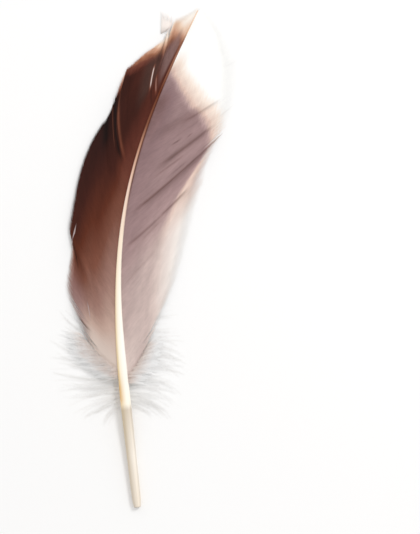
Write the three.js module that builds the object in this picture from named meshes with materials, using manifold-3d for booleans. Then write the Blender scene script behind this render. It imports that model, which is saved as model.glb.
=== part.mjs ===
import * as THREE from 'three';
import { mergeVertices } from 'three/addons/utils/BufferGeometryUtils.js';
import Module from 'manifold-3d';

// A goose flight feather, shed whole, lying on its under side.
// Lengths are millimetres and angles are degrees. The straight line from the quill's end to the
// tip runs along +Y, the outer face looks up +Z, and the floor is z = 0.
// A place along the shaft is t, from 0 at the quill's end to 1 at the tip.
// A place along a barb is u, from 0 at the shaft to 1 at the vane's edge.

const wasm = await Module();
wasm.setup();

// Shaft: its length, its sideways bow as sine terms, and its sizes at a few places.
const FEATHER_LENGTH = 220;
const SHAFT_BOW = [-21.14, 1.98, 0.02, 0.21];
const QUILL_END_X = 12.6;
const QUILL_END_Y = -110.5;
const SHAFT_HALF_WIDTH = [
  [0, 1.55], [0.02, 1.95], [0.1, 2.15], [0.2, 2.3], [0.25, 2.15], [0.32, 1.9], [0.4, 1.45],
  [0.5, 1.05], [0.65, 0.68], [0.85, 0.42], [1, 0.25],
];
const SHAFT_HALF_HEIGHT = [
  [0, 1.5], [0.02, 1.9], [0.1, 2.1], [0.2, 2.25], [0.3, 2.05], [0.4, 1.65], [0.55, 1.2],
  [0.7, 0.85], [0.85, 0.5], [1, 0.25],
];
const SHAFT_CENTRE_HEIGHT = [
  [0, 1.4], [0.06, 1.75], [0.12, 2.35], [0.2, 3.6], [0.35, 5.8], [0.5, 7.1], [0.65, 7.0],
  [0.8, 5.2], [0.92, 2.5], [1, 0.6],
];
const SHAFT_SIDES = 10;
const SHAFT_STEPS = 32;
const GROOVE_FROM = 0.24;
const GROOVE_DEPTH = 0.45;
const QUILL_PIT_RADIUS = 0.55;
const QUILL_PIT_DEPTH = 2.4;
const QUILL_PIT_SIDES = 8;

// Vanes: the angle between barb and shaft at both ends of a barb, and the barb's length.
// bend under 1 puts most of the curve near the shaft.
const OUTER_VANE = {
  side: -1,
  bend: 0.6,
  rootAngle: [[0.265, 44], [0.35, 44], [0.5, 41.5], [0.65, 38.5], [0.8, 31], [0.93, 27], [1, 20]],
  tipAngle: [[0.265, 29], [0.35, 18], [0.45, 9], [0.55, 3], [0.65, -3], [0.8, 1], [0.93, 10], [1, 5]],
  length: [
    [0.265, 30], [0.3, 39], [0.36, 42], [0.38, 49], [0.42, 51], [0.5, 53], [0.55, 50.5], [0.6, 46],
    [0.632, 52], [0.7, 46.5], [0.8, 30], [0.83, 32], [0.86, 27], [0.9, 19], [0.95, 10], [1, 1.5],
  ],
  lockEnds: [0.265, 0.3, 0.333, 0.368, 0.42, 0.47, 0.52, 0.565, 0.613, 0.637, 0.69, 0.74, 0.785,
    0.815, 0.87, 0.94, 1],
};
const INNER_VANE = {
  side: 1,
  bend: 1,
  rootAngle: [[0.26, 44], [0.35, 43], [0.5, 42], [0.7, 42], [0.85, 41], [0.95, 36], [1, 26]],
  tipAngle: [[0.26, 32], [0.35, 35], [0.5, 38], [0.7, 38], [0.85, 36], [0.95, 26], [1, 10]],
  length: [
    [0.26, 20], [0.3, 41], [0.36, 48], [0.45, 53], [0.5, 54], [0.58, 60.5], [0.7, 55], [0.8, 43.5],
    [0.9, 25.5], [0.97, 9.3], [1, 1.5],
  ],
  lockEnds: [0.26, 0.29, 0.33, 0.38, 0.437, 0.47, 0.505, 0.566, 0.612, 0.632, 0.665, 0.71, 0.76,
    0.81, 0.87, 0.94, 1],
};
const ROOT_OUT = 0.3;
const ROOT_RISE = 0.35;
const EDGE_HEIGHT = 0.7;
const CAMBER = 1.5;
const VANE_THICKNESS = 0.85;
const RIDGE_HEIGHT = 0.22;
const RIDGE_PITCH = 0.0145;
const LOCK_STEP = 0.2;
const LOCK_GAP = 0.0012;
const NOTCH_DEPTH = 0.07;
const BARB_STEPS = 6;

// Down: tapered locks that fan out from the shaft below both vanes.
const LEFT_DOWN = {
  side: -1,
  count: 15,
  from: 0.212,
  to: 0.3,
  rootAngle: [[0.212, 118], [0.235, 88], [0.26, 62], [0.3, 46]],
  tipAngle: [[0.212, 165], [0.235, 112], [0.26, 84], [0.3, 44]],
  length: [[0.212, 15], [0.235, 25], [0.26, 32], [0.28, 36], [0.3, 38]],
};
const RIGHT_DOWN = {
  side: 1,
  count: 15,
  from: 0.212,
  to: 0.3,
  rootAngle: [[0.212, 112], [0.235, 82], [0.26, 60], [0.3, 46]],
  tipAngle: [[0.212, 160], [0.235, 128], [0.26, 112], [0.3, 62]],
  length: [[0.212, 14], [0.235, 24], [0.26, 30], [0.28, 32], [0.3, 34]],
};
const DOWN_ROOT_RISE = 0.7;
const DOWN_DROOP = 1.6;
const DOWN_WIDTH = 3;
const DOWN_THICKNESS = 0.8;
const DOWN_SINK = 0.05;
const DOWN_SWAY = 7;
const DOWN_SWAY_TURN = 2.4;
const DOWN_SHORTENING = [0, 0.07, 0.14];
const DOWN_STEPS = 5;

const radians = THREE.MathUtils.degToRad;

// A smooth curve through [place, value] pairs.
function valueAt(pairs, place) {
  const last = pairs.length - 1;
  const at = Math.min(Math.max(place, pairs[0][0]), pairs[last][0]);
  let i = 0;
  while (i < last - 1 && at > pairs[i + 1][0]) i += 1;
  const slope = (k) => {
    const a = pairs[Math.max(k - 1, 0)];
    const b = pairs[Math.min(k + 1, last)];
    return (b[1] - a[1]) / (b[0] - a[0]);
  };
  const width = pairs[i + 1][0] - pairs[i][0];
  const s = (at - pairs[i][0]) / width;
  const rise = pairs[i + 1][1] - pairs[i][1];
  const start = slope(i) * width;
  const end = slope(i + 1) * width;
  return pairs[i][1] + start * s + (3 * rise - 2 * start - end) * s * s + (start + end - 2 * rise) * s ** 3;
}

function shaftPlace(t) {
  let x = QUILL_END_X;
  SHAFT_BOW.forEach((swing, k) => {
    x += swing * Math.sin((k + 1) * Math.PI * t);
  });
  return { x, y: QUILL_END_Y + FEATHER_LENGTH * t };
}

function shaftHeading(t) {
  let slope = 0;
  SHAFT_BOW.forEach((swing, k) => {
    slope += swing * (k + 1) * Math.PI * Math.cos((k + 1) * Math.PI * t);
  });
  return Math.atan2(slope, FEATHER_LENGTH);
}

// A closed solid from shared vertices, turned so that its faces point out.
function solidFrom(points, faces) {
  let volume = 0;
  faces.forEach(([a, b, c]) => {
    const [p, q, r] = [points[a], points[b], points[c]];
    volume += p[0] * (q[1] * r[2] - q[2] * r[1]) + p[1] * (q[2] * r[0] - q[0] * r[2])
      + p[2] * (q[0] * r[1] - q[1] * r[0]);
  });
  const outward = volume > 0 ? faces : faces.map(([a, b, c]) => [a, c, b]);
  return new wasm.Manifold(new wasm.Mesh({
    numProp: 3,
    vertProperties: new Float32Array(points.flat()),
    triVerts: new Uint32Array(outward.flat()),
  }));
}

function solidFromGeometry(geometry) {
  geometry.deleteAttribute('normal');
  geometry.deleteAttribute('uv');
  const merged = mergeVertices(geometry);
  return new wasm.Manifold(new wasm.Mesh({
    numProp: 3,
    vertProperties: merged.attributes.position.array,
    triVerts: new Uint32Array(merged.index.array),
  }));
}

// A skin over rings of points, with both ends closed.
function loft(rings) {
  const size = rings[0].length;
  const faces = [];
  for (let i = 0; i < rings.length - 1; i += 1) {
    for (let j = 0; j < size; j += 1) {
      const a = i * size + j;
      const b = i * size + (j + 1) % size;
      faces.push([a, b, b + size], [a, b + size, a + size]);
    }
  }
  const end = (rings.length - 1) * size;
  for (let j = 1; j < size - 1; j += 1) {
    faces.push([0, j + 1, j], [end, end + j, end + j + 1]);
  }
  return solidFrom(rings.flat(), faces);
}

// The shaft: a hollow quill's round outside below, a grooved rachis above.
function shaftRing(t) {
  const middle = shaftPlace(t);
  const heading = shaftHeading(t);
  const halfWidth = valueAt(SHAFT_HALF_WIDTH, t);
  const halfHeight = valueAt(SHAFT_HALF_HEIGHT, t);
  const height = valueAt(SHAFT_CENTRE_HEIGHT, t);
  const ring = [];
  for (let k = 0; k < SHAFT_SIDES; k += 1) {
    const angle = -Math.PI / 2 + (2 * Math.PI * k) / SHAFT_SIDES;
    const grooved = k === 0 && t > GROOVE_FROM;
    const across = halfWidth * Math.cos(angle);
    const up = halfHeight * Math.sin(angle) * (grooved ? 1 - GROOVE_DEPTH : 1);
    ring.push([middle.x + across * Math.cos(heading), middle.y - across * Math.sin(heading), height + up]);
  }
  return ring;
}

function makeShaft() {
  const rings = [];
  for (let i = 0; i <= SHAFT_STEPS; i += 1) rings.push(shaftRing(i / SHAFT_STEPS));
  const pit = new THREE.ConeGeometry(QUILL_PIT_RADIUS, QUILL_PIT_DEPTH, QUILL_PIT_SIDES);
  pit.translate(0, QUILL_PIT_DEPTH / 3, 0);
  pit.rotateZ(-shaftHeading(0));
  pit.translate(QUILL_END_X, QUILL_END_Y, SHAFT_CENTRE_HEIGHT[0][1]);
  return loft(rings).subtract(solidFromGeometry(pit));
}

// The way of a barb that leaves the shaft at t, at even steps over the given share of its length.
function barbPath(vane, t, reach) {
  const heading = shaftHeading(t);
  const rootAngle = valueAt(vane.rootAngle, t);
  const tipAngle = valueAt(vane.tipAngle, t);
  const step = (reach * valueAt(vane.length, t)) / BARB_STEPS;
  const middle = shaftPlace(t);
  const across = vane.side * ROOT_OUT * valueAt(SHAFT_HALF_WIDTH, t);
  const path = [{
    x: middle.x + across * Math.cos(heading),
    y: middle.y - across * Math.sin(heading),
  }];
  for (let j = 0; j < BARB_STEPS; j += 1) {
    const u = (reach * (j + 0.5)) / BARB_STEPS;
    const angle = rootAngle + (tipAngle - rootAngle) * u ** vane.bend;
    const way = heading + vane.side * radians(angle);
    const here = path[j];
    path.push({ x: here.x + step * Math.sin(way), y: here.y + step * Math.cos(way) });
  }
  return path;
}

function vaneHeight(t, u) {
  const root = valueAt(SHAFT_CENTRE_HEIGHT, t) + ROOT_RISE * valueAt(SHAFT_HALF_HEIGHT, t);
  return root + (EDGE_HEIGHT - root) * u ** CAMBER;
}

// The places along the shaft where a vane's rows of points start, lock by lock. Rows rise and
// fall by turns as ridges, each lock steps off its neighbour and its edge is cut back at both ends.
function vaneRows(vane) {
  const rows = [];
  for (let number = 0; number < vane.lockEnds.length - 1; number += 1) {
    const from = vane.lockEnds[number] + LOCK_GAP;
    const to = vane.lockEnds[number + 1] - LOCK_GAP;
    const count = Math.max(2, 2 * Math.round((to - from) / RIDGE_PITCH / 2));
    const step = LOCK_STEP * (number % 2 ? 1 : -1);
    for (let i = 0; i <= count; i += 1) {
      const share = i / count;
      rows.push({
        t: from + (to - from) * share,
        reach: 1 - NOTCH_DEPTH * Math.abs(2 * share - 1) ** 4,
        lift: (u) => step * u + RIDGE_HEIGHT * (i % 2 ? 1 : -1) * Math.min(4 * u, 1),
      });
    }
  }
  return rows;
}

function makeVane(vane) {
  const rows = vaneRows(vane);
  const points = [];
  rows.forEach(({ t, reach, lift }) => {
    barbPath(vane, t, reach).forEach((spot, j) => {
      const u = j / BARB_STEPS;
      const top = vaneHeight(t, u * reach) + lift(u);
      points.push([spot.x, spot.y, top], [spot.x, spot.y, top - VANE_THICKNESS]);
    });
  });
  return plate(points, rows.length - 1, BARB_STEPS);
}

// A closed plate over a grid of places, each with a top point and the bottom point under it.
function plate(points, rows, columns) {
  const at = (i, j, below) => 2 * (i * (columns + 1) + j) + below;
  const faces = [];
  const square = (a, b, c, d) => faces.push([a, b, c], [a, c, d]);
  for (let i = 0; i < rows; i += 1) {
    for (let j = 0; j < columns; j += 1) {
      square(at(i, j, 0), at(i, j + 1, 0), at(i + 1, j + 1, 0), at(i + 1, j, 0));
      square(at(i, j, 1), at(i + 1, j, 1), at(i + 1, j + 1, 1), at(i, j + 1, 1));
    }
    square(at(i, 0, 0), at(i + 1, 0, 0), at(i + 1, 0, 1), at(i, 0, 1));
    square(at(i, columns, 0), at(i, columns, 1), at(i + 1, columns, 1), at(i + 1, columns, 0));
  }
  for (let j = 0; j < columns; j += 1) {
    square(at(0, j, 0), at(0, j, 1), at(0, j + 1, 1), at(0, j + 1, 0));
    square(at(rows, j, 0), at(rows, j + 1, 0), at(rows, j + 1, 1), at(rows, j, 1));
  }
  return solidFrom(points, faces);
}

// One lock of down: a three-sided strand, widest part way along, that droops to the floor.
function makeDownLock(down, number) {
  const t = down.from + ((down.to - down.from) * number) / (down.count - 1);
  const heading = shaftHeading(t);
  const sway = DOWN_SWAY * Math.sin(number * DOWN_SWAY_TURN);
  const length = valueAt(down.length, t) * (1 - DOWN_SHORTENING[number % 3]);
  const rootHeight = DOWN_ROOT_RISE * valueAt(SHAFT_CENTRE_HEIGHT, t);
  const rings = [];
  let { x, y } = shaftPlace(t);
  for (let j = 0; j <= DOWN_STEPS; j += 1) {
    const u = j / DOWN_STEPS;
    const angle = valueAt(down.rootAngle, t) * (1 - u) + (valueAt(down.tipAngle, t) + sway) * u;
    const way = heading + down.side * radians(angle);
    const halfWidth = DOWN_WIDTH * (0.2 + 0.9 * u - u ** 2);
    const height = rootHeight * (1 - u) ** DOWN_DROOP;
    const acrossX = Math.cos(way) * halfWidth;
    const acrossY = -Math.sin(way) * halfWidth;
    rings.push([
      [x - acrossX, y - acrossY, height - DOWN_SINK],
      [x, y, height + DOWN_THICKNESS * (1 - u / 2)],
      [x + acrossX, y + acrossY, height - DOWN_SINK],
    ]);
    x += (length / DOWN_STEPS) * Math.sin(way);
    y += (length / DOWN_STEPS) * Math.cos(way);
  }
  return loft(rings);
}

// Shaft, vanes and down grew as one piece. What would dip under the floor is cut off flat.
function makeFeather() {
  let whole = makeShaft().add(makeVane(OUTER_VANE)).add(makeVane(INNER_VANE));
  [LEFT_DOWN, RIGHT_DOWN].forEach((down) => {
    for (let number = 0; number < down.count; number += 1) {
      whole = whole.add(makeDownLock(down, number));
    }
  });
  const underFloor = new THREE.BoxGeometry(2 * FEATHER_LENGTH, 2 * FEATHER_LENGTH, 10);
  underFloor.translate(0, 0, -5);
  return whole.subtract(solidFromGeometry(underFloor));
}

function toMesh(solid, name, material) {
  const { vertProperties, triVerts } = solid.getMesh();
  const geometry = new THREE.BufferGeometry();
  geometry.setAttribute('position', new THREE.BufferAttribute(vertProperties, 3));
  geometry.setIndex(new THREE.BufferAttribute(triVerts, 1));
  geometry.computeVertexNormals();
  const mesh = new THREE.Mesh(geometry, material);
  mesh.name = name;
  return mesh;
}

const keratin = new THREE.MeshStandardMaterial({ color: 0x7d5f57, roughness: 0.6, metalness: 0 });
const feather = new THREE.Group();
feather.add(toMesh(makeFeather(), 'feather', keratin));

export default feather;
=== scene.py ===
# %% [markdown]
# A goose flight feather, lying on a pale table and seen from straight above.
# It is one grown piece: a horn shaft, a narrow dark vane on one side, a wide pale vane on the
# other, and loose down where the vanes start. A vane is not a sheet. It is some four hundred
# thin barbs side by side, hooked together, so this scene builds every barb as a ribbon.
# Lengths below are real millimetres on the feather, and the meshes are made in metres.

# %% Load the frame and keep its parts
import math

import bpy
import numpy as np
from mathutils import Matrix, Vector


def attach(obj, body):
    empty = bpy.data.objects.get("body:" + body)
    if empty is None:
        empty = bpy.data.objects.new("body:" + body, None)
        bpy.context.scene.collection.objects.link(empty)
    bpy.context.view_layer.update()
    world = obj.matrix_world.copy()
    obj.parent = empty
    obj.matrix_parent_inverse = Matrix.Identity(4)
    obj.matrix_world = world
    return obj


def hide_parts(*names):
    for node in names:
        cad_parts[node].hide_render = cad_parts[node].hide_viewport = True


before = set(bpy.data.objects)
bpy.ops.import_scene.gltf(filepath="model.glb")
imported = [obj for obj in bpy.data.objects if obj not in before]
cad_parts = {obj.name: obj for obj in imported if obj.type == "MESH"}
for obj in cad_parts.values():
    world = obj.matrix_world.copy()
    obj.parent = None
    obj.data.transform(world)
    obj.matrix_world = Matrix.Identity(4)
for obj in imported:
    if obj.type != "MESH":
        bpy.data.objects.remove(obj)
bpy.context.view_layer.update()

MM = 0.001
rng = np.random.default_rng(11)

# %% [markdown]
# The shaft sets the place of everything else. A place along it is t, from 0 at the quill's end
# to 1 at the tip. Its sideways bow could be a list of many points, but three or four sine terms
# hold the same curve and also give its heading at any t. Sizes that change along the shaft are
# short lists of (t, value), joined by a smooth curve.

# %% The shaft's line and a smooth curve through a few values
FEATHER_LENGTH = 220.0
SHAFT_BOW = (-20.84, 1.77, 0.21, 0.06)
QUILL_END = (12.6, -110.5)


def smooth(pairs, place):
    """A curve through (place, value) pairs, with no corner at any of them."""
    at, value = np.array(pairs, float).T
    slope = np.gradient(value, edge_order=1) if len(at) < 3 else np.empty(len(at))
    if len(at) > 2:
        slope[1:-1] = (value[2:] - value[:-2]) / (at[2:] - at[:-2])
        slope[0] = (value[1] - value[0]) / (at[1] - at[0])
        slope[-1] = (value[-1] - value[-2]) / (at[-1] - at[-2])
    place = np.clip(np.asarray(place, float), at[0], at[-1])
    i = np.clip(np.searchsorted(at, place, side="right") - 1, 0, len(at) - 2)
    width = at[i + 1] - at[i]
    s = (place - at[i]) / width
    rise = value[i + 1] - value[i]
    start, end = slope[i] * width, slope[i + 1] * width
    return value[i] + start * s + (3 * rise - 2 * start - end) * s**2 + (start + end - 2 * rise) * s**3


def shaft_xy(t):
    """The shaft's middle, seen from above."""
    swing = sum(b * np.sin((k + 1) * np.pi * t) for k, b in enumerate(SHAFT_BOW))
    return np.stack([QUILL_END[0] + swing, QUILL_END[1] + FEATHER_LENGTH * t], axis=-1)


def shaft_heading(t):
    """The shaft's direction, in radians to the right of +Y."""
    slope = sum(b * (k + 1) * np.pi * np.cos((k + 1) * np.pi * t) for k, b in enumerate(SHAFT_BOW))
    return np.arctan2(slope, FEATHER_LENGTH)


print("shaft:", FEATHER_LENGTH, "mm long in a straight line")

# %% [markdown]
# The quill is round and is thickest just under the vanes. Above them the rachis thins to a
# thread, and the whole shaft lifts off the table in a low arch. Each size is a list of (t, mm),
# so the outline can be changed at one place without touching the rest.

# %% The shaft's thickness and its height over the table
HALF_WIDTH = [(0, 1.55), (0.02, 1.95), (0.1, 2.15), (0.2, 2.3), (0.25, 2.15), (0.32, 1.9), (0.4, 1.45),
              (0.5, 1.05), (0.65, 0.69), (0.85, 0.5), (1, 0.25)]
HALF_HEIGHT = [(0, 1.5), (0.02, 1.9), (0.1, 2.1), (0.2, 2.25), (0.3, 2.05), (0.4, 1.65), (0.55, 1.19),
               (0.7, 0.85), (0.85, 0.5), (1, 0.25)]
CENTRE_HEIGHT = [(0, 1.4), (0.06, 1.75), (0.12, 2.35), (0.2, 3.6), (0.35, 5.8), (0.5, 7.09), (0.65, 7.0),
                 (0.8, 5.2), (0.92, 2.5), (1, 0.6)]
shaft_x = shaft_xy(np.linspace(0, 1, 99))[:, 0]
print("bow of the shaft off a straight line, mm:", round(float(QUILL_END[0] - shaft_x.min()), 1))

# %% [markdown]
# The camera looks straight down, as the photograph does. One pixel of the 420 by 534 picture
# covers 0.44 mm of the table. The feather arches only 8 mm, but with a short lens that is enough
# to push its shaft sideways in the picture, so the lens is long and stands well back. The
# feather's own frame has the line from quill to tip along +Y, and in the photograph that line
# leans a little to the right, so the camera is rolled by the same angle.

# %% Camera
MM_PER_PIXEL = 0.44
PICTURE = (420, 534)
QUILL_END_PIXEL = (137.5, 507.0)
LEAN = math.radians(6.94)
LENS = 180.0
SENSOR = 36.0

off_right = (PICTURE[0] / 2 - QUILL_END_PIXEL[0]) * MM_PER_PIXEL
off_up = (QUILL_END_PIXEL[1] - PICTURE[1] / 2) * MM_PER_PIXEL
middle = (QUILL_END[0] + off_right * math.cos(LEAN) - off_up * math.sin(LEAN),
          QUILL_END[1] + off_right * math.sin(LEAN) + off_up * math.cos(LEAN))
distance = PICTURE[1] * MM_PER_PIXEL * LENS / SENSOR

lens = bpy.data.cameras.new("camera")
lens.lens = LENS
lens.sensor_width = SENSOR
camera = bpy.data.objects.new("camera", lens)
camera.location = (middle[0] * MM, middle[1] * MM, distance * MM)
camera.rotation_euler = (0, 0, LEAN)
bpy.context.scene.collection.objects.link(camera)
bpy.context.scene.camera = camera
print("camera height, mm:", round(distance, 1))

# %% [markdown]
# Every colour is written as an sRGB hex value, and one function turns it to the linear numbers
# that a renderer adds and multiplies. One more function adds a node, sets it, links it and gives
# its output, so a material reads as a list of what feeds what. A socket is named, or numbered
# where a node has two of one name: 0 to 4 of Map Range are its value, the two ends it comes
# from and the two it goes to, and Mix has its share in 0, and its pair in 2 and 3, or for
# colours in 6 and 7.

# %% Colour and node helpers


def linear(hex_colour):
    """Linear RGBA of an sRGB hex colour."""
    parts = [int(hex_colour[k:k + 2], 16) / 255 for k in (1, 3, 5)]
    return [c / 12.92 if c <= 0.04045 else ((c + 0.055) / 1.055) ** 2.4 for c in parts] + [1.0]


def node(tree, kind, links=None, stops=(), out=0, **settings):
    """Adds a node and gives one of its outputs. links is socket -> value or another node's output.

    stops fill a colour ramp with (place, hex colour), or with (place, amount) for plain numbers."""
    made = tree.nodes.new("ShaderNode" + kind)
    for name, value in settings.items():
        setattr(made, name, value)
    for socket, value in (links or {}).items():
        if isinstance(value, bpy.types.NodeSocket):
            tree.links.new(value, made.inputs[socket])
        else:
            made.inputs[socket].default_value = value
    for k, (place, shade) in enumerate(stops):
        points = made.color_ramp.elements
        point = points[k] if k < 2 else points.new(place)
        point.position = place
        point.color = linear(shade) if isinstance(shade, str) else (shade, shade, shade, 1)
    return made.outputs[out] if len(made.outputs) else None


def new_material(name):
    """A named material, its empty tree, and its shader wired to the output."""
    material = bpy.data.materials.new(name)
    material.use_nodes = True
    tree = material.node_tree
    tree.nodes.clear()
    surface = node(tree, "BsdfPrincipled")
    node(tree, "OutputMaterial", {"Surface": surface})
    return material, tree, surface.node


print("cream as linear numbers:", [round(c, 3) for c in linear("#fdfbf8")])

# %% [markdown]
# The table is a plain sheet of white card. The light is one large soft lamp up to the right of
# the picture, which brightens that corner and throws the quill's soft shadow to the left, and an
# even white surround that fills the shadows.

# %% Card, lamp and surround
# Matt card has a rough, uncoated fibre surface, so it shows no highlight.
CARD_SIZE = 3.0
card, tree, shader = new_material("white_card_matt")
shader.inputs["Base Color"].default_value = linear("#f8f8f8")
shader.inputs["Roughness"].default_value = 0.9
shader.inputs["Specular IOR Level"].default_value = 0.2

bpy.ops.mesh.primitive_plane_add(size=CARD_SIZE, location=(0, 0, 0))
table = bpy.context.object
table.name = "table"
table.data.materials.append(card)

KEY_FROM = (0.55, 0.62, 0.95)
KEY_TARGET = (0, 0.02, 0)
KEY_SIZE = 0.36
KEY_WATTS = 5.2
key = bpy.data.lights.new("soft_key", "AREA")
key.shape = "DISK"
key.size = KEY_SIZE
key.energy = KEY_WATTS
key_lamp = bpy.data.objects.new("soft_key", key)
key_lamp.location = KEY_FROM
key_lamp.rotation_euler = (Vector(KEY_TARGET) - Vector(KEY_FROM)).to_track_quat("-Z", "Y").to_euler()
bpy.context.scene.collection.objects.link(key_lamp)

SURROUND_STRENGTH = 0.84
surround = bpy.data.worlds.new("surround")
surround.use_nodes = True
backdrop = surround.node_tree.nodes["Background"]
backdrop.inputs["Color"].default_value = linear("#fdfcfb")
backdrop.inputs["Strength"].default_value = SURROUND_STRENGTH
bpy.context.scene.world = surround
bpy.context.scene.view_settings.view_transform = "Standard"
print("lamp:", KEY_WATTS, "W, surround:", SURROUND_STRENGTH)

# %% [markdown]
# A vane is described by how its barbs run. A barb leaves the shaft at one angle and ends at
# another, and it has a length. Those three change slowly along the shaft, so three short lists
# make the vane's outline and its flow at once. The outer vane's barbs bend sharply near the
# shaft and then run almost beside it, which is what makes that vane narrow.

# %% The two vanes
OUTER = dict(
    side=-1, bend=0.6,
    root_angle=[(0.252, 58), (0.275, 52), (0.31, 46), (0.35, 44), (0.5, 41.5), (0.65, 38.5), (0.8, 31),
                (0.93, 27), (1, 20)],
    tip_angle=[(0.252, 44), (0.27, 34), (0.30, 25), (0.35, 18), (0.45, 9), (0.55, 3), (0.65, -3), (0.8, 1),
               (0.93, 10), (1, 5)],
    length=[(0.243, 24), (0.265, 30), (0.3, 39), (0.36, 42), (0.38, 49), (0.42, 51), (0.5, 53),
            (0.55, 50.5), (0.6, 46), (0.632, 52), (0.7, 46.5), (0.8, 30), (0.83, 32), (0.86, 27), (0.9, 19),
            (0.95, 10), (1, 1.5)],
    lock_ends=[0.252, 0.27, 0.3, 0.333, 0.368, 0.42, 0.47, 0.52, 0.565, 0.613, 0.637, 0.69, 0.74, 0.785,
               0.815, 0.87, 0.94, 1],
)
INNER = dict(
    side=1, bend=1.0,
    root_angle=[(0.238, 42), (0.26, 44), (0.35, 43), (0.5, 42), (0.7, 42), (0.85, 41), (0.95, 36), (1, 26)],
    tip_angle=[(0.238, 30), (0.26, 32), (0.35, 35), (0.5, 38), (0.7, 38), (0.85, 36), (0.95, 26), (1, 10)],
    length=[(0.238, 19), (0.26, 25), (0.28, 33), (0.3, 41), (0.36, 48), (0.45, 53), (0.5, 54), (0.58, 60.5),
            (0.7, 55), (0.8, 43.5), (0.9, 25.5), (0.97, 9.3), (1, 1.5)],
    lock_ends=[0.238, 0.26, 0.29, 0.33, 0.38, 0.437, 0.47, 0.505, 0.566, 0.612, 0.632, 0.665, 0.71, 0.76,
               0.81, 0.87, 0.94, 1],
)
print("locks in the outer and inner vane:", len(OUTER["lock_ends"]) - 1, len(INNER["lock_ends"]) - 1)

# %% [markdown]
# Where hooks between two barbs have let go, the vane parts. Its two sides then stand apart as a
# slit, or slide over each other as a fold. A fold gets painted shade as a dark line, and where its
# upper side turns up it gets a painted highlight. Each parting below is a line across the vane: its
# t at the shaft and at the edge, and the u where it starts and ends. Then come how far it opens in
# mm (under 0 means that it laps over), how far the tip side is lifted in mm, how much painted shade
# it gets (under 0 it is lightened instead, toward a painted highlight and the bare underside of a
# turned barb), and how wide that shade is, as a share of the shaft.

# %% Partings of both vanes
OUTER["partings"] = [
    # t at shaft and edge, u from and to, gap, lift, shade, width
    (0.6500, 0.595, 0.15, 1.05, -0.5, 0.9, 0.90, 0.0080),
    (0.6580, 0.609, 0.12, 1.25, 0.0, 0.0, -0.30, 0.0055),
    (0.6340, 0.5835, 0.45, 1.10, -0.2, 0.3, -0.26, 0.0030),
    (0.572, 0.568, 0.66, 1.00, 0.0, 0.0, 0.75, 0.0130),
    (0.234, 0.391, 0.74, 1.02, -0.1, 0.2, 0.95, 0.0055),
    (0.300, 0.284, 0.42, 0.95, -0.2, 0.3, 0.50, 0.0028),
    (0.780, 0.786, 0.30, 0.70, 0.0, 0.1, -0.95, 0.0045),
    (0.814, 0.806, 0.04, 0.38, 0.0, 0.1, -0.50, 0.0040),
    (0.792, 0.782, 0.06, 0.36, 0.0, 0.1, 0.40, 0.0050),
    (0.793, 0.920, 0.24, 0.58, -0.2, 0.3, 0.62, 0.0050),
    (0.872, 0.845, 0.50, 0.95, 0.1, 0.4, 0.35, 0.0040),
    (0.878, 0.770, 0.38, 0.84, 0.0, 0.0, 0.30, 0.0100),
]
INNER["partings"] = [
    (0.5685, 0.566, 0.03, 1.08, -0.4, 0.6, 0.68, 0.0080),
    (0.5600, 0.555, 0.15, 0.90, 0.0, 0.0, 0.28, 0.0090),
    (0.5055, 0.480, 0.02, 0.50, -0.2, 0.3, 0.48, 0.0065),
    (0.5060, 0.486, 0.40, 0.82, -0.2, 0.3, 0.56, 0.0075),
    (0.486, 0.481, 0.20, 0.52, 0.0, 0.1, 0.26, 0.0060),
    (0.430, 0.424, 0.03, 0.48, 0.0, 0.2, 0.14, 0.0060),
    (0.618, 0.600, 0.20, 0.56, -0.1, 0.2, 0.36, 0.0050),
    (0.6360, 0.628, 0.20, 0.82, -0.3, 0.5, 0.62, 0.0110),
    (0.725, 0.715, 0.10, 0.66, 0.0, 0.2, 0.26, 0.0180),
    (0.716, 0.703, 0.36, 0.80, -0.2, 0.2, 0.36, 0.0070),
    (0.685, 0.685, 0.30, 0.64, 0.0, 0.1, 0.16, 0.0070),
    (0.680, 0.645, 0.355, 0.425, 0.0, 0.0, 0.6, 0.0030),
    (0.705, 0.615, 0.49, 0.55, 0.0, 0.0, 0.6, 0.0030),
    (0.588, 0.578, 0.42, 0.58, 0.0, 0.1, 0.30, 0.0035),
    (0.651, 0.647, 0.78, 1.06, -0.1, 0.1, 0.18, 0.0070),
    (0.807, 0.803, 0.78, 1.06, -0.1, 0.1, 0.10, 0.0060),
]
print("partings:", len(OUTER["partings"]), "and", len(INNER["partings"]))

# %% [markdown]
# The vane's edge is not where every barb would end if it grew to full length. Some are worn
# short, and one lock of the narrow vane sticks out. So each vane has a curve of how much of the
# barb is there. A barb may also lean off the smooth flow, as the barbs beside the deepest fold do.
# Low on the shaft the barbs have few hooks, so there they fray: each is a little shorter than its
# neighbour or sways its own way, and their thin tips pass into the down.

# %% Edge and lean of both vanes
OUTER["reach"] = [(0.252, 0.66), (0.26, 0.72), (0.275, 0.77), (0.2825, 0.81), (0.29, 0.88), (0.2975, 0.98),
                  (0.305, 1.02), (0.313, 1.01), (0.33, 0.985), (0.375, 0.965), (0.395, 0.90),
                  (0.42, 0.912), (0.46, 0.935), (0.50, 0.925), (0.54, 0.938), (0.585, 0.953), (0.612, 1.0),
                  (0.636, 1.05), (0.65, 1.09), (0.658, 1.15), (0.666, 1.23), (0.673, 1.10), (0.682, 1.02),
                  (0.70, 0.98), (0.73, 0.985), (0.77, 1.04), (0.79, 1.05), (0.80, 1.03), (0.815, 0.96),
                  (0.83, 0.85), (0.844, 0.74), (0.849, 0.73), (0.853, 0.92), (0.88, 0.97), (1.0, 0.98)]
OUTER["lean"] = [(0.243, 0.022), (0.28, 0.005), (0.32, -0.012), (0.36, -0.02), (0.42, 0.0), (0.56, 0.0),
                 (0.60, -0.03), (0.65, -0.056), (0.69, -0.035), (0.74, 0.0), (1.0, 0.0)]
OUTER["wear"] = 0.004
OUTER["soft_tip"] = [(0.252, 0.7), (0.27, 0.55), (0.29, 0.35), (0.31, 0.2), (0.34, 0.1), (0.62, 0.05),
                     (0.80, 0.07), (0.86, 0.16), (1.0, 0.45)]
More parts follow.
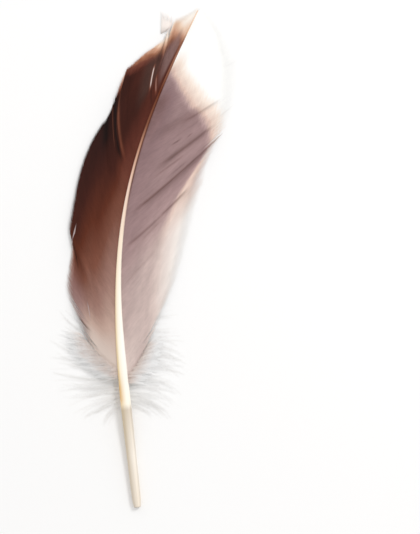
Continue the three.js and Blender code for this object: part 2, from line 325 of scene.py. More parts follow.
INNER["reach"] = [(0.238, 0.95), (0.27, 1.06), (0.45, 1.05), (0.52, 0.975), (0.65, 0.972), (0.9, 0.98),
                  (1.0, 0.96)]
INNER["lean"] = [(0.238, 0.0), (1.0, 0.0)]
INNER["wear"] = 0.03
INNER["soft_tip"] = [(0.238, 0.6), (0.27, 0.5), (0.30, 0.4), (0.45, 0.35), (0.55, 0.22), (0.7, 0.3),
                     (1.0, 0.3)]
FRAY = [(0.238, 0.3), (0.27, 0.2), (0.31, 0.07), (0.37, 0.015), (1, 0.01)]
FRAY_SWAY = 0.012
# How wide the lowest barbs are, by how far up the shaft they are from the first one.
FIRST_BARBS = [(0, 0.3), (0.004, 0.55), (0.009, 1), (1, 1)]
print("longest lock of the outer vane, as a share of its barbs:", max(reach for _, reach in OUTER["reach"]))

# %% [markdown]
# A vane arches: it leaves the shaft high and comes down to the table at its edge. Modelling that
# by hand would be slow to correct, so a chart holds where each (t, u) is. It is worked out once
# for a fine grid and read in between, and every barb, parting and colour then uses it.

# %% Where a place on a vane lies
ROOT_RISE = 0.35
EDGE_HEIGHT = [(0.238, 0.6), (0.30, 0.5), (0.38, 0.42), (0.5, 0.4), (1, 0.4)]
CAMBER = [(0.238, 0.6), (0.27, 0.75), (0.31, 1.15), (0.36, 1.5), (1, 1.5)]
BARB_FOOT = 0.6
BELOW_FIRST = 0.04
CHART_ROWS = 500
CHART_STEPS = 120
LONGEST = 1.26


def vane_height(t, u):
    """Height of the vane over the table: it leaves the shaft high and arches down to its edge."""
    root = smooth(CENTRE_HEIGHT, t) + ROOT_RISE * smooth(HALF_HEIGHT, t)
    return root + (smooth(EDGE_HEIGHT, t) - root) * np.clip(u, 0, 1) ** smooth(CAMBER, t)


def chart(vane):
    """Where (t, u) is on the table, as a fine grid that every barb is then read from."""
    t = np.linspace(vane["lock_ends"][0] - BELOW_FIRST, 1, CHART_ROWS)
    u = (np.arange(CHART_STEPS) + 0.5) / CHART_STEPS * LONGEST
    root, tip = smooth(vane["root_angle"], t)[:, None], smooth(vane["tip_angle"], t)[:, None]
    heading = shaft_heading(t)
    bend = np.clip(u, 0, 1) ** vane["bend"]
    way = heading[:, None] + vane["side"] * np.radians(root + (tip - root) * bend)
    step = (smooth(vane["length"], t) * LONGEST / CHART_STEPS)[:, None]
    across = vane["side"] * BARB_FOOT * smooth(HALF_WIDTH, t)
    start = shaft_xy(t) + np.stack([across * np.cos(heading), -across * np.sin(heading)], axis=-1)
    moves = np.stack([step * np.sin(way), step * np.cos(way)], axis=-1)
    lines = np.concatenate([np.zeros((len(t), 1, 2)), np.cumsum(moves, axis=1)], axis=1)
    return t, start[:, None] + lines


def read_chart(rows, points, t, u):
    """Places on the table of arrays t and u."""
    i = np.clip((t - rows[0]) / (rows[1] - rows[0]), 0, CHART_ROWS - 1.001)
    j = np.clip(u / LONGEST * CHART_STEPS, 0, CHART_STEPS - 0.001)
    i0, j0 = i.astype(int), j.astype(int)
    a, b = (i - i0)[..., None], (j - j0)[..., None]
    near = points[i0, j0] * (1 - b) + points[i0, j0 + 1] * b
    far = points[i0 + 1, j0] * (1 - b) + points[i0 + 1, j0 + 1] * b
    return near * (1 - a) + far * a


halfway_up = vane_height(0.5, np.array([0, 0.5, 1]))
print("heights of a vane halfway up, shaft to edge, mm:", halfway_up.round(1))

# %% [markdown]
# A mesh here is a grid of quads for each strand, and its UV map keeps where each point is on the
# feather: u along the barb and t along the shaft. The materials read that map, so a colour
# change can follow the barbs exactly. Two numbers ride on each point as well: the barb's own
# tone, and the shade of any parting. A second map gives every strand a strip of its own in the
# unit square.

# %% From grids of points to a mesh
STRIP_ENDS = (0.002, 0.998)
STRIP_SIDES = (0.05, 0.95)


def strand_mesh(name, points, place, strip, extra):
    """points, place and strip are strand x step x across x values.

    extra is attribute name -> strand x step x across."""
    strands, steps, across = points.shape[:3]
    index = np.arange(strands * steps * across).reshape(strands, steps, across)
    faces = np.stack([index[:, :-1, :-1], index[:, 1:, :-1], index[:, 1:, 1:], index[:, :-1, 1:]], axis=-1)
    faces = faces.reshape(-1, 4)
    mesh = bpy.data.meshes.new(name)
    mesh.from_pydata((points.reshape(-1, 3) * MM).tolist(), [], faces.tolist())
    for layer, values in (("place", place), ("OFBake", strip)):
        uv = mesh.uv_layers.new(name=layer)
        uv.data.foreach_set("uv", values.reshape(-1, 2)[faces.ravel()].ravel().astype(np.float32))
    for layer, values in extra.items():
        attribute = mesh.attributes.new(layer, "FLOAT", "POINT")
        attribute.data.foreach_set("value", values.ravel().astype(np.float32))
    mesh.shade_smooth()
    made = bpy.data.objects.new(name, mesh)
    bpy.context.scene.collection.objects.link(made)
    return made


def strips(strands, steps, across):
    """A strip of the unit square for each strand, with a bare tenth between strips."""
    along = np.linspace(*STRIP_ENDS, steps)[None, :, None]
    over = (np.arange(strands)[:, None, None] + np.linspace(*STRIP_SIDES, across)) / strands
    return np.stack(np.broadcast_arrays(along, over), axis=-1)


# %% [markdown]
# A parting could be cut out of the finished mesh, but then the barbs beside it would still lie as
# if nothing had happened. Here the barbs near a parting's line move off to their own side
# instead, the upper ones rise a little, and the gap's painted shade, below 0 where it is
# lightened, is kept for the material.

# %% How a parting moves its barbs
# How far along the shaft a parting still moves barbs, and how quickly its lift sets in.
PARTING_REACH = 0.016
STEEP = 0.003
# How long it takes to open: a share of its own length, but never more than this much of a barb.
PARTING_ENDS = (0.3, 0.2)
# The sine of a barb's angle to the shaft, which turns a gap into a move along the shaft.
SLANT = 0.35
# The painted shade of a dark gap is narrower on the side of the tip.
SHARP_SIDE = 0.6


def smoothstep(x):
    """0 up to 0, 1 from 1 on, and smooth between."""
    x = np.clip(x, 0, 1)
    return x * x * (3 - 2 * x)


def bump(u, low, high):
    """Rises from 0 at low and falls to 0 at high; a parting that ends past the edge stays open."""
    end = min(PARTING_ENDS[0] * (high - low), PARTING_ENDS[1])
    fall = smoothstep((high - u) / end) if high <= 1 else 1.0
    return smoothstep((u - low) / end) * fall


def open_partings(vane, t, u, height):
    """Moves barbs apart and up at every parting, and gives t, height and each point's painted shade."""
    shade = np.zeros_like(height)
    for at_root, at_edge, low, high, gap, lift, dark, width in vane["partings"]:
        off = t - (at_root + (at_edge - at_root) * u)
        here = bump(u, low, high)
        near = here * np.exp(-(off / PARTING_REACH) ** 2)
        height = height + lift * near * smoothstep(off / STEEP + 0.5) * np.minimum(3 * u, 1)
        halfway = np.argmin(np.abs(u - (low + high) / 2), axis=1)[:, None]
        own_side = np.where(np.take_along_axis(off, halfway, axis=1) > 0, 1, -1)
        t = t + gap / (2 * FEATHER_LENGTH * SLANT) * near * own_side
        spread = np.where(off > 0, SHARP_SIDE, 1.0) * width if dark > 0 else width
        shade = shade + dark * here * np.exp(-(off / spread) ** 2)
    return t, height, shade


widest = max(abs(parting[4]) for parting in OUTER["partings"] + INNER["partings"])
print("most that a parting opens or laps, mm:", widest)

# %% [markdown]
# One ribbon per barb: three points wide, with a low ridge, and as wide as the space to its
# neighbours plus a lap, so that the vane is closed. Its side toward the tip lies over the next
# barb, like a shingle. All ribbons of a vane are rows of one grid of numbers, which is far
# quicker to build than four hundred objects, and the result is one mesh.

# %% The vanes
BARB_STEPS = 26
BARB_LAP = 1.5
# The least and most space that a barb fills, and how high its side toward the quill, its middle
# and its side toward the tip lie over the vane, all in mm.
BARB_WIDTHS = (0.08, 0.7)
RIDGE = np.array([-0.07, 0.03, 0.05])
# What is left of a barb's width at its very end.
POINT = 0.06
LAST_BARB = 0.9975
WEAR_SPREAD = 1.2
TONE_SPREAD = 0.18
LOCK_WAVE = 0.12
BARB_WAVE = 0.015
TABLE_GAP = 0.04


def make_vane(name, vane, count):
    """All barbs of one vane."""
    first = vane["lock_ends"][0]
    root = first + (LAST_BARB - first) * (np.arange(count) + 0.5) / count
    short = 1 - vane["wear"] * np.abs(rng.normal(0, WEAR_SPREAD, count))
    fray = smooth(FRAY, root)
    reach = smooth(vane["reach"], root) * short * (1 - fray * rng.random(count))
    u = np.linspace(0, 1, BARB_STEPS + 1)[None] * reach[:, None]
    t = root[:, None] + smooth(vane["lean"], root)[:, None] * u
    closed = read_chart(*chart(vane), t, u)
    t = t + (FRAY_SWAY * fray * rng.normal(0, 1, count))[:, None] * u ** 2
    t, height, shade = open_partings(vane, t, u, vane_height(t, u))
    lines = read_chart(*chart(vane), t, u)
    run = np.gradient(lines, axis=1)
    run /= np.linalg.norm(run, axis=2, keepdims=True)
    normal = vane["side"] * np.stack([-run[..., 1], run[..., 0]], axis=-1)
    space = np.abs((normal * np.gradient(closed, axis=0)).sum(-1))
    lock = np.searchsorted(vane["lock_ends"], root) - 1
    wave = rng.normal(0, LOCK_WAVE, len(vane["lock_ends"]))[lock]
    height = height + (wave[:, None] + rng.normal(0, BARB_WAVE, (count, 1))) * u * (1 - 0.4 * u)
    share = np.linspace(0, 1, BARB_STEPS + 1)[None]
    soft = smooth(vane["soft_tip"], root)[:, None]
    taper = POINT + (1 - POINT) * (1 - np.clip((share - 1 + soft) / soft, 0, 1)) ** 1.2
    half = np.clip(space, *BARB_WIDTHS) * BARB_LAP / 2 * taper * smooth(FIRST_BARBS, root - first)[:, None]
    sides = np.array([-1.0, 0.0, 1.0])
    flat = lines[:, :, None] + normal[:, :, None] * (half[..., None] * sides)[..., None]
    up = height[..., None] + RIDGE * taper[..., None]
    points = np.concatenate([flat, np.maximum(up, TABLE_GAP)[..., None]], axis=-1)
    place = np.stack(np.broadcast_arrays(u[..., None], t[..., None] + 0 * sides), axis=-1)
    tone = np.broadcast_to(rng.normal(0.5, TONE_SPREAD, count)[:, None, None], points.shape[:3])
    made = strand_mesh(name, points, place, strips(count, BARB_STEPS + 1, 3),
                       {"tone": tone, "shade": np.broadcast_to(shade[..., None], points.shape[:3])})
    print(name, count, "barbs,", len(made.data.polygons) * 2, "triangles")
    return made


outer_vane = make_vane("outer_vane", OUTER, 400)
inner_vane = make_vane("inner_vane", INNER, 420)

# %% [markdown]
# A few barbs have come loose. Just left of the tip some ends fan out of their lock as a small
# pale tuft with a grey foot, and on the narrow vane two single barbs curl over the others and
# show their pale undersides. Each is a ribbon along a bent line through three points.

# %% Loose barbs
LOOSE_STEPS = 12
TUFT_BARBS = 16
# The left and the right end of the tuft, at its foot, its middle and its tips, in mm.
TUFT_FOOT = ((-2.2, 97.5), (0.1, 99.3))
TUFT_MIDDLE = ((-2.7, 102.4), (1.8, 102.0))
TUFT_TIPS = ((-3.1, 107.2), (1.2, 105.6))
TUFT_HEIGHT = (0.3, 0.9)
TUFT_SCATTER = 0.5
TUFT_HALF_WIDTH = 0.28
# The start, middle and end of each curled barb, in mm.
CURLED = [((-29.0, 10.2, 3.1), (-29.5, 5.6, 2.6), (-30.0, -0.5, 1.4)),
          ((-20.5, -22.4, 4.2), (-19.0, -26.6, 4.55), (-17.6, -31.6, 4.6))]
CURLED_HALF_WIDTH = (0.33, 0.17)


def bent_line(start, middle, end):
    """Points of a curve that starts and ends at two points and passes through a third."""
    u = np.linspace(0, 1, LOOSE_STEPS + 1)[:, None]
    start, middle, end = np.array(start), np.array(middle), np.array(end)
    return start * (1 - u) * (1 - 2 * u) + middle * 4 * u * (1 - u) + end * u * (2 * u - 1)


u = np.linspace(0, 1, LOOSE_STEPS + 1)
shapes, across, is_tuft = [], [], []
for share in np.linspace(0, 1, TUFT_BARBS):
    three = [np.array(left) * (1 - share) + np.array(right) * share
             for left, right in (TUFT_FOOT, TUFT_MIDDLE, TUFT_TIPS)]
    three[2] = three[2] + rng.normal(0, TUFT_SCATTER, 2)
    height = TUFT_HEIGHT[0] * (1 - share) + TUFT_HEIGHT[1] * share
    line = np.column_stack([bent_line(*three), np.full(len(u), height)])
    shapes.append((line, TUFT_HALF_WIDTH * (1 - 0.8 * u)))
    across.append(share)
    is_tuft.append(1.0)
for three, half_width in zip(CURLED, CURLED_HALF_WIDTH):
    shapes.append((bent_line(*three), half_width * np.sin(np.pi * np.clip(u, 0.06, 0.94))))
    across.append(half_width)
    is_tuft.append(0.0)

rows = []
for line, half in shapes:
    run = np.gradient(line[:, :2], axis=0)
    run /= np.linalg.norm(run, axis=1, keepdims=True)
    edge = np.column_stack([-run[:, 1] * half, run[:, 0] * half, 0 * half])
    rows.append(np.stack([line - edge, line + edge], axis=1))
sides = np.zeros((len(rows), len(u), 2))
place = np.stack([sides + u[None, :, None], sides + np.array(across)[:, None, None]], axis=-1)
loose_barbs = strand_mesh("loose_barbs", np.stack(rows), place, strips(len(rows), len(u), 2),
                          {"tone": sides + np.array(is_tuft)[:, None, None]})
print("loose barbs:", len(rows))

# %% [markdown]
# The colour of a barb is one brown pigment at different strength. It is dense in the narrow vane
# and thins out to tan at the ends of its locks. In the wide vane it is thin, so that the barbs
# look grey-brown, and it stops at a slanting line, past which they are cream. A painted image
# could hold that, but here the material first works out how much pigment there is at (u, t),
# and then turns that amount to a colour, so that every border follows the barbs.

# %% Barb keratin: where a colour is, and where the pigment ends
SMOOTHLY = dict(interpolation_type="SMOOTHSTEP")
TIMES = dict(operation="MULTIPLY")
TINTS = dict(data_type="RGBA", out=2)


def read_place(tree):
    """The place on the feather, then its first and its second number."""
    place = node(tree, "UVMap", uv_map="place")
    first = node(tree, "SeparateXYZ", {"Vector": place})
    return place, first, first.node.outputs["Y"]


def past_border(tree, place, u, border, softness, spot, unevenness):
    """0 at the pigment's border, 1 where it has faded.

    Barbs wear in groups of about ten, so the border is uneven in spots of 4 to 5 mm of shaft."""
    worn = node(tree, "TexNoise", {"Vector": place, "Scale": FEATHER_LENGTH / spot, "Detail": 2.0})
    past = node(tree, "Math", {0: u, 1: border}, operation="SUBTRACT")
    ragged = node(tree, "Math", {0: worn, 1: unevenness, 2: past}, operation="MULTIPLY_ADD")
    return node(tree, "Math", {0: ragged, 1: softness}, operation="DIVIDE")


def tint_patch(tree, colour, borders, strength, tint):
    """Another colour inside borders, each given as what is read, where it starts and where it is full."""
    amount = strength
    for value, start, full in borders:
        inside = node(tree, "MapRange", {0: value, 1: start, 2: full}, **SMOOTHLY)
        amount = node(tree, "Math", {0: amount, 1: inside}, **TIMES)
    return node(tree, "Mix", {0: amount, 6: colour, 7: linear(tint)}, **TINTS)


# %% [markdown]
# Seen close, no two barbs have quite the same tone, and each is flecked and clouded. The flecks
# are its barbules, a few hundredths of a millimetre apart. That is too fine to show here, so
# they are drawn as wide as one barb with its gap. The same flecks raise a very low bump, and the
# dry, rough keratin takes almost no shine. A dark parting gets painted shade, the shadow that
# falls into a fold, and a light one is lightened toward the bare underside of a turned barb, with
# a painted highlight where its edge turns up.

# %% Barb keratin: how its surface looks
MIDDLE_BARB = 50.4
# Spots: mm along the barb, mm along the shaft, detail, roughness.
CLOUDS = (7.2, 6.4706, 2.0, 0.5)
FLECKS = (3.6, 0.5238, 3.0, 0.7)
SPOT_TONES = {3: 0.92, 4: 1.08}
BARB_TONES = {3: 0.95, 4: 1.05}


def finish_keratin(tree, shader, colour, pigment, fold_shade, underside_and_highlight_colours, place):
    """Tone per barb, spots, the partings' painted shade and painted highlight, and the ribs as a small
    bump.
    """
    tone = node(tree, "Attribute", attribute_name="tone", out="Fac")
    shade = node(tree, "Attribute", attribute_name="shade", out="Fac")
    uneven = node(tree, "MapRange", {0: tone, 1: 0.0, 2: 1.0, **BARB_TONES}, clamp=False)
    for along_barb, along_shaft, detail, rough in (CLOUDS, FLECKS):
        scale = (MIDDLE_BARB / along_barb, FEATHER_LENGTH / along_shaft, 1)
        stretched = node(tree, "Mapping", {"Vector": place, "Scale": scale})
        spots = node(tree, "TexNoise", {"Vector": stretched, "Scale": 1.0, "Detail": detail,
                                        "Roughness": rough})
        mottle = node(tree, "MapRange", {0: spots, 1: 0.3, 2: 0.7, **SPOT_TONES})
        uneven = node(tree, "Math", {0: uneven, 1: mottle}, **TIMES)
    coloured = node(tree, "MapRange", {0: pigment, 1: 0.0, 2: 0.5}, **SMOOTHLY)
    brightness = node(tree, "Mix", {0: coloured, 2: 1.0, 3: uneven})
    bare = node(tree, "MapRange", {0: shade, 1: 0.0, 2: -1.0})
    underside_and_highlight = node(tree, "ValToRGB", {"Fac": bare}, underside_and_highlight_colours)
    turned_and_lit = node(tree, "Mix", {0: bare, 6: colour, 7: underside_and_highlight}, **TINTS)
    dark = node(tree, "Clamp", {"Value": shade})
    fold_shaded = node(tree, "Mix", {0: dark, 6: turned_and_lit, 7: linear(fold_shade)}, **TINTS)
    lit = node(tree, "VectorMath", {0: fold_shaded, "Scale": brightness}, operation="SCALE")
    ribs = node(tree, "Bump", {"Height": spots, "Strength": 0.2, "Distance": 0.0001})
    tree.links.new(lit, shader.inputs["Base Color"])
    tree.links.new(ribs, shader.inputs["Normal"])
    shader.inputs["Roughness"].default_value = 0.62
    shader.inputs["Specular IOR Level"].default_value = 0.12


print("flecks per barb:", round(MIDDLE_BARB / FLECKS[0]))

# %% [markdown]
# The narrow vane is dark. Its pigment thickens from the shaft to mid-barb and from the foot
# upwards, and it stops short of the lock ends, which are left tan. Three ramps along the shaft
# give the amount beside the shaft, in the middle and at the edge, two more say where the border
# lies and how soft it is, and the last says how much pigment is left past it. Low on the feather
# the brown is cooler than high up.

# %% Outer vane: barb keratin, dense brown pigment
# Rough and nearly black-brown, so the eye sees a flat dark band with pale, ragged lock ends.
OUTER_AMOUNTS = dict(
    by_shaft=[(0.265, 0.10), (0.29, 0.15), (0.33, 0.24), (0.40, 0.40), (0.56, 0.59), (0.68, 0.69),
              (0.80, 0.75), (0.86, 0.74), (0.92, 0.56), (0.945, 0.22), (0.98, 0.06)],
    by_middle=[(0.265, 0.10), (0.29, 0.17), (0.33, 0.43), (0.40, 0.61), (0.48, 0.75), (0.60, 0.87),
               (0.72, 0.88), (0.84, 0.70), (0.90, 0.52), (0.945, 0.23), (0.98, 0.02)],
    by_edge=[(0.27, 0.22), (0.32, 0.54), (0.36, 0.72), (0.40, 0.86), (0.56, 0.97), (0.66, 0.88),
             (0.74, 0.80), (0.80, 0.76), (0.86, 0.55), (0.92, 0.28), (0.96, 0.05)],
    border=[(0.25, 0.44), (0.265, 0.50), (0.285, 0.66), (0.305, 0.86), (0.36, 0.90), (0.45, 0.96),
            (0.54, 0.98), (0.60, 1.1), (0.66, 0.88), (0.70, 0.83), (0.75, 0.80), (0.80, 0.72),
            (0.84, 0.39), (0.88, 0.49), (0.91, 0.33), (0.94, 0.12)],
    softness=[(0.25, 0.42), (0.28, 0.3), (0.36, 0.15), (0.56, 0.11), (0.66, 0.26), (0.70, 0.27),
              (0.82, 0.32), (0.85, 0.36), (0.88, 0.55)],
    remnant=[(0.80, 0.03), (0.90, 0.11), (0.93, 0.05), (0.97, 0.0)],
)
COOL_BROWN = [(0.0, "#f6f1ec"), (0.12, "#dacac0"), (0.28, "#c2a699"), (0.45, "#9b776c"), (0.6, "#7a4c3d"),
              (0.74, "#5c2c1c"), (0.86, "#401c14"), (1.0, "#220f0e")]
WARM_BROWN = [(0.0, "#fffaf3"), (0.15, "#efd2ba"), (0.3, "#cf9f84"), (0.45, "#a06a50"), (0.6, "#713f32"),
              (0.74, "#572a20"), (0.86, "#3c1a12"), (1.0, "#1c0b09")]

keratin_brown, tree, shader = new_material("barb_keratin_dark_brown")
place, u, t = read_place(tree)
amount = {name: node(tree, "ValToRGB", {"Fac": t}, stops) for name, stops in OUTER_AMOUNTS.items()}
dense = amount["by_shaft"]
for start, full, further in ((0.03, 0.42, "by_middle"), (0.38, 0.8, "by_edge")):
    outward = node(tree, "MapRange", {0: u, 1: start, 2: full}, **SMOOTHLY)
    dense = node(tree, "Mix", {0: outward, 2: dense, 3: amount[further]})
share = past_border(tree, place, u, amount["border"], amount["softness"], spot=3.6667, unevenness=0.08)
faded = node(tree, "MapRange", {0: share})
pigment = node(tree, "Mix", {0: faded, 2: dense, 3: amount["remnant"]})
cool, warm = [node(tree, "ValToRGB", {"Fac": pigment}, stops) for stops in (COOL_BROWN, WARM_BROWN)]
upward = node(tree, "MapRange", {0: t, 1: 0.56, 2: 0.68}, **SMOOTHLY)
colour = node(tree, "Mix", {0: upward, 6: cool, 7: warm}, **TINTS)
print("outer vane: ramps of pigment along the shaft:", len(amount))

# %% [markdown]
# Three places of the narrow vane are off that colour: the thin blade just under the tip is
# greyer, a dusky lock lies below it, and the foot is mauve-grey where its barbs start to part.

# %% Outer vane: its off-colour patches
OUTER_PATCHES = [
    ([(t, 0.81, 0.865), (t, 0.94, 0.91), (u, 0.04, 0.15), (u, 0.62, 0.34)], 0.8, "#8d716d"),
    ([(u, 0.25, 0.45), (u, 0.92, 0.75), (t, 0.70, 0.76), (t, 0.84, 0.815)], 0.55, "#4b3a34"),
    ([(t, 0.36, 0.29), (u, 0.45, 0.7)], 0.5, "#8a7074"),
]
for borders, strength, tint in OUTER_PATCHES:
    colour = tint_patch(tree, colour, borders, strength, tint)
# Folds get near-black painted shade, and light partings a rufous painted highlight that turns to the pale
# underside.
finish_keratin(tree, shader, colour, pigment, "#120a09", [(0.3, "#b06a50"), (0.75, "#e2d2cc")], place)
outer_vane.data.materials.append(keratin_brown)
print("outer vane: patches:", len(OUTER_PATCHES), "nodes:", len(tree.nodes))

# %% [markdown]
# The loose barbs are the same keratin. The tuft is grey at its foot and white at its tips, with its
# two outer barbs a little greyer, and the two curled barbs turn their brownish-grey underside up.
# Both are read from one material by the number that says which of the two a barb is.

# %% Loose barbs: pale barb keratin
# Dull like the vane, and nearly white, so the tuft stands out only a little against the card.
loose_keratin, tree, shader = new_material("barb_keratin_loose_pale")
place, u, across = read_place(tree)
is_tuft = node(tree, "Attribute", attribute_name="tone", out="Fac")
tuft_colour = node(tree, "ValToRGB", {"Fac": u}, [
    (0.0, "#cdc8c4"), (0.14, "#e6e0dc"), (0.35, "#f8f2ee"), (0.7, "#faf6f3"), (1.0, "#fefdfc")])
side = node(tree, "ValToRGB", {"Fac": across}, [
    (0.0, "#f1f1ef"), (0.15, "#fcf8f6"), (0.8, "#fffbf8"), (1.0, "#efe8e6")])
sided = node(tree, "Mix", {0: 1.0, 6: tuft_colour, 7: side}, blend_type="MULTIPLY", **TINTS)
curled = node(tree, "ValToRGB", {"Fac": u}, [
    (0.0, "#6e4f4b"), (0.35, "#a79594"), (0.75, "#ab9998"), (1.0, "#9c8781")])
colour = node(tree, "Mix", {0: is_tuft, 6: curled, 7: sided}, **TINTS)
tree.links.new(colour, shader.inputs["Base Color"])
shader.inputs["Roughness"].default_value = 0.65
shader.inputs["Specular IOR Level"].default_value = 0.15
loose_barbs.data.materials.append(loose_keratin)
print("loose barbs: nodes:", len(tree.nodes))

# %% [markdown]
# The wide vane holds less pigment. It is grey-brown up to a border that lies about half-way out
# low down and three quarters out in the middle, and then slants in to the shaft near the tip.
# Past the border comes a band of tan, and then the edge, which is cream where it has no pigment.
# Higher up, the narrow strip right beside the shaft gets the shaft's painted shadow, a darker brown.

# %% Inner vane: barb keratin, thin pigment that ends in cream
# As rough as the other vane, but pale, so its barbs show as soft lines and not as a dark band.
INNER_AMOUNTS = dict(
    by_shaft=[(0.27, 0.35), (0.34, 0.49), (0.42, 0.58), (0.50, 0.67), (0.70, 0.76), (0.80, 0.86),
              (0.85, 0.68), (0.88, 0.34), (0.90, 0.0)],
    by_middle=[(0.27, 0.43), (0.36, 0.48), (0.42, 0.50), (0.48, 0.57), (0.54, 0.68), (0.60, 0.65),
               (0.70, 0.69), (0.78, 0.64), (0.85, 0.52)],
    by_edge=[(0.27, 0.18), (0.31, 0.05), (0.36, 0.04), (0.41, 0.05), (0.45, 0.27), (0.50, 0.42),
             (0.55, 0.46), (0.575, 0.08), (0.60, 0.0)],
    border=[(0.27, 0.50), (0.32, 0.38), (0.36, 0.40), (0.41, 0.41), (0.45, 0.44), (0.50, 0.60),
            (0.555, 0.79), (0.60, 0.75), (0.65, 0.67), (0.70, 0.562), (0.735, 0.45), (0.78, 0.335),
            (0.82, 0.21), (0.86, 0.05), (0.90, 0.0)],
    softness=[(0.27, 0.50), (0.44, 0.45), (0.50, 0.32), (0.54, 0.30), (0.60, 0.19), (0.66, 0.20),
              (0.9, 0.26)],
)
LOW_GREY = [(0.0, "#fdfbf8"), (0.15, "#ede4de"), (0.35, "#d3c1ba"), (0.55, "#b59f9b"), (0.7, "#9c8280"),
            (0.85, "#7c5c59"), (1.0, "#4b3532")]
HIGH_GREY = [(0.0, "#fefefc"), (0.15, "#f5e6da"), (0.35, "#dcc0b3"), (0.55, "#b19694"), (0.75, "#8e7374"),
             (0.88, "#7a5b59"), (1.0, "#4b3532")]
TAN_BAND = 0.30

keratin_pale, tree, shader = new_material("barb_keratin_grey_to_cream")
place, u, t = read_place(tree)
amount = {name: node(tree, "ValToRGB", {"Fac": t}, stops) for name, stops in INNER_AMOUNTS.items()}
share = past_border(tree, place, u, amount["border"], amount["softness"], spot=4.8889, unevenness=0.07)
pigment = amount["by_shaft"]
for value, start, full, further in ((u, 0.04, 0.4, amount["by_middle"]), (share, 0.0, 0.55, TAN_BAND),
                                    (share, 0.35, 1.3, amount["by_edge"]), (t, 0.86, 0.915, 0.0)):
    passed = node(tree, "MapRange", {0: value, 1: start, 2: full}, **SMOOTHLY)
    pigment = node(tree, "Mix", {0: passed, 2: pigment, 3: further})
low, high = [node(tree, "ValToRGB", {"Fac": pigment}, stops) for stops in (LOW_GREY, HIGH_GREY)]
upward = node(tree, "MapRange", {0: t, 1: 0.40, 2: 0.52}, **SMOOTHLY)
colour = node(tree, "Mix", {0: upward, 6: low, 7: high}, **TINTS)
# The shaft's painted shadow: a darker brown strip right beside it, from t 0.56 to 0.9.
colour = tint_patch(tree, colour, [(u, 0.026, 0.006), (t, 0.56, 0.66), (t, 0.905, 0.875)], 1.0, "#663c30")
# Folds get a warm brown painted shade.
finish_keratin(tree, shader, colour, pigment, "#5c3d37", [(0.3, "#d8c3ba"), (0.75, "#efe6e0")], place)
inner_vane.data.materials.append(keratin_pale)
print("inner vane: nodes:", len(tree.nodes))

# %% [markdown]
# The quill is a horn tube and the rachis above it is horn over white pith. Seen from above its
# back is rounded, and it narrows to a thread at the tip. It could be a curve with a bevel, but a
# loft of rings along the shaft's line can also be grooved below and hollowed at the cut end. The
# few tenths of a millimetre that would dip under the table are flattened.

# %% Shaft mesh
SHAFT_RINGS = 170
SHAFT_SIDES = 32
RACHIS_START = 0.2
RACHIS_BLEND = 0.08
SQUARED = 0.28
GROOVE_DEPTH = 0.45
GROOVE_WIDTH = 0.3
END_ROUNDING = 0.0035
END_NARROWING = 0.3
PIT_DEPTH = 1.6
PIT_SIZES = (0.34, 0.3)
# Painted shade in the pit: at its floor, its inner wall and the cut end's rim.
PIT_SHADES = (1, 0.6, 0.45)
LOWEST_SHAFT = 0.02


def make_shaft():
    """Rings from the cut end to the tip, closed at the cut end by the floor of a pit."""
    t = np.concatenate([np.linspace(0, 0.02, 12)[:-1], np.linspace(0.02, 1, SHAFT_RINGS)])
    angle = np.linspace(-np.pi / 2, 1.5 * np.pi, SHAFT_SIDES + 1)
    middle, heading = shaft_xy(t), shaft_heading(t)
    rounding = np.sqrt(np.clip(1 - (1 - t / END_ROUNDING).clip(0, 1) ** 2 * END_NARROWING, 0, 1))
    half_width = smooth(HALF_WIDTH, t) * rounding
    half_height = smooth(HALF_HEIGHT, t) * rounding
    squareness = smoothstep((t - RACHIS_START) / RACHIS_BLEND)[:, None]
    cosine, sine = np.cos(angle)[None], np.sin(angle)[None]
    power = 1 - SQUARED * squareness
    across = half_width[:, None] * np.sign(cosine) * np.abs(cosine) ** power
    up = half_height[:, None] * np.sign(sine) * np.abs(sine) ** power
    for off_bottom in (angle - angle[0], angle[-1] - angle):
        groove = GROOVE_DEPTH * squareness * np.exp(-(off_bottom / GROOVE_WIDTH) ** 2)[None]
        up = up + groove * half_height[:, None]
    height = smooth(CENTRE_HEIGHT, t)[:, None] + up
    x = middle[:, 0, None] + across * np.cos(heading)[:, None]
    y = middle[:, 1, None] - across * np.sin(heading)[:, None]
    rings = np.stack([x, y, np.maximum(height, LOWEST_SHAFT)], axis=-1)
    inner = rings[0].mean(axis=0) + (rings[0] - rings[0].mean(axis=0)) * PIT_SIZES[0]
    floor_of_pit = inner.mean(axis=0) + (inner - inner.mean(axis=0)) * PIT_SIZES[1]
    floor_of_pit[:, 1] += PIT_DEPTH
    rings = np.concatenate([floor_of_pit[None], inner[None], rings])
    along = np.concatenate([[0, 0], t])
    place = np.stack(np.broadcast_arrays(np.linspace(0, 1, SHAFT_SIDES + 1)[None], along[:, None]), axis=-1)
    strip = place.copy()
    strip[..., 1] = np.linspace(*STRIP_ENDS, len(along))[:, None]
    pit = np.zeros(rings.shape[:2])
    pit[:3] = np.array(PIT_SHADES)[:, None]
    return strand_mesh("shaft", rings[None], place[None], strip[None], {"shade": pit})


shaft = make_shaft()
print("shaft triangles:", len(shaft.data.polygons) * 2)
